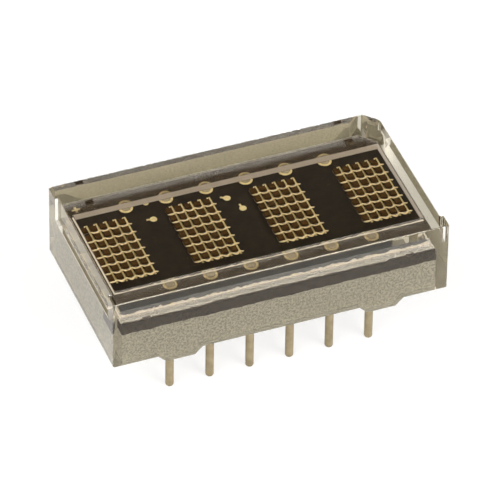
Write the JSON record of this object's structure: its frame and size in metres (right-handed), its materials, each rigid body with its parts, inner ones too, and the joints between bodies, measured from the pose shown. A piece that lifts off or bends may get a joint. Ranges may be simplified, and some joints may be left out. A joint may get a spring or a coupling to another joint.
{
  "type": "four-character dot matrix display",
  "caption": "Small clear-lensed dot matrix display module with characters of amber dots in a row and two rows of round through-hole pins.",
  "frame": {"origin": "centre of the pin pattern at the seating plane, where the four feet touch the circuit board", "axes": "+X along the characters from the first to the last, +Y towards the tops of the characters, +Z out of the viewing face"},
  "size_m": [0.021, 0.0114, 0.009],
  "materials": {
    "clear_plastic": "moulded, clear, slightly warm tint",
    "board_black": "dark solder mask",
    "potting_compound": "translucent cured resin",
    "pin_metal": "dull gold plating",
    "gold_pad": "gold plating",
    "solder": "bright, smooth",
    "led_die": "polished semiconductor, dark amber",
    "silver_epoxy": "silver filled",
    "gold_line": "gold on the board",
    "row_link_metal": "gold wire",
    "gold_wire": "bright gold",
    "silicon": "polished silicon"
  },
  "bodies": {
    "root": {"lens_cap": "clear_plastic", "board": "board_black", "potting": "potting_compound", "pin_01": "pin_metal", "pin_02": "pin_metal", "pin_03": "pin_metal", "pin_04": "pin_metal", "pin_05": "pin_metal", "pin_06": "pin_metal", "pin_07": "pin_metal", "pin_08": "pin_metal", "pin_09": "pin_metal", "pin_10": "pin_metal", "pin_11": "pin_metal", "pin_12": "pin_metal", "pin_pads": "gold_pad", "solder_joints": "solder", "led_dice_1": "led_die", "die_attach_1": "silver_epoxy", "column_lines_1": "gold_line", "row_links_1": "row_link_metal", "bond_wires_1": "gold_wire", "led_dice_2": "led_die", "die_attach_2": "silver_epoxy", "column_lines_2": "gold_line", "row_links_2": "row_link_metal", "bond_wires_2": "gold_wire", "led_dice_3": "led_die", "die_attach_3": "silver_epoxy", "column_lines_3": "gold_line", "row_links_3": "row_link_metal", "bond_wires_3": "gold_wire", "led_dice_4": "led_die", "die_attach_4": "silver_epoxy", "column_lines_4": "gold_line", "row_links_4": "row_link_metal", "bond_wires_4": "gold_wire", "vias": "gold_pad", "alignment_cross": "gold_pad", "test_pad": "gold_pad", "driver_chip": "silicon", "driver_adhesive": "silver_epoxy", "driver_bond_fingers": "gold_pad", "driver_bond_wires": "gold_wire"}
  },
  "joints": []
}
